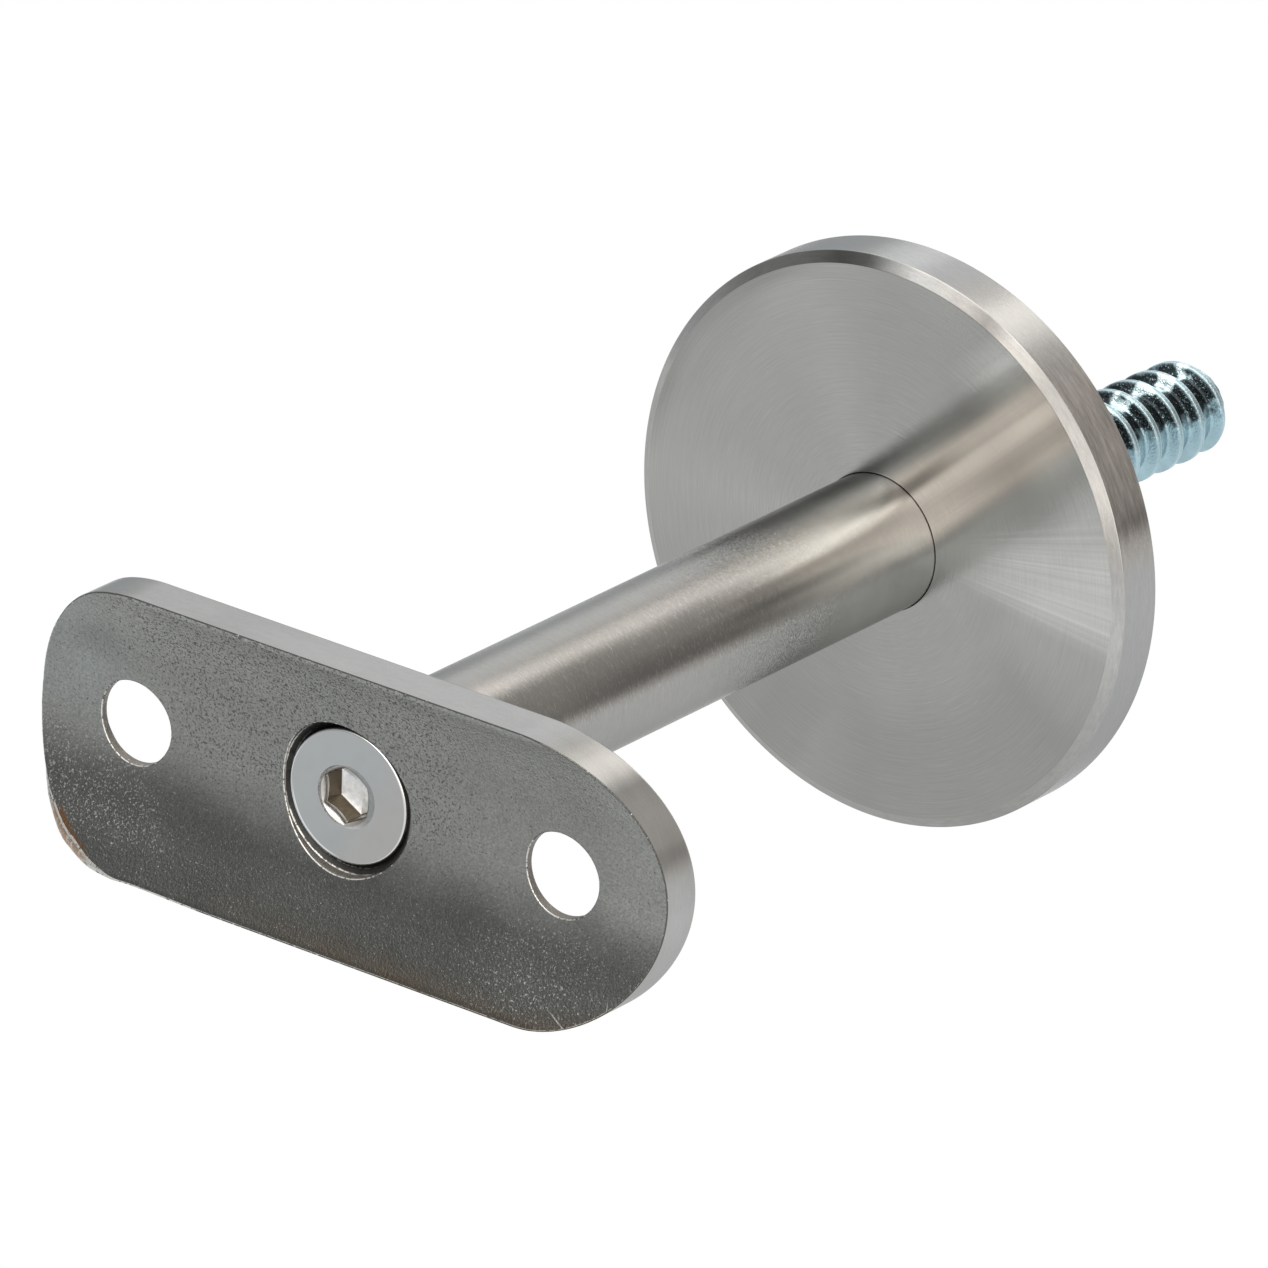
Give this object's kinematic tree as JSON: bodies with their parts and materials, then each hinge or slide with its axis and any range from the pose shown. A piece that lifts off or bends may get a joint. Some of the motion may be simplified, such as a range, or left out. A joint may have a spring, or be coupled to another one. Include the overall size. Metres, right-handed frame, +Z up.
{
  "type": "handrail bracket",
  "caption": "Wall bracket for a round handrail: round wall flange on a hanger bolt, straight bar, and a curved oblong saddle plate with countersunk holes.",
  "frame": {"origin": "centre of the flange's wall face, on the axis of the bar and the hanger bolt", "axes": "+X along the rail and the saddle plate's length, +Y into the wall along the hanger bolt, +Z up"},
  "size_m": [0.0644, 0.1171, 0.05],
  "materials": {
    "plate_steel": "fine blasted stainless steel, worn bright on its edges",
    "screw_steel": "plain polished stainless steel",
    "bar_steel": "brushed round the bar",
    "flange_steel": "turned, with fine concentric marks",
    "zinc_plate": "blue zinc plated"
  },
  "bodies": {
    "root": {"saddle_plate": "plate_steel", "saddle_screw": "screw_steel", "support_bar": "bar_steel", "wall_flange": "flange_steel", "hanger_bolt": "zinc_plate"}
  },
  "joints": []
}
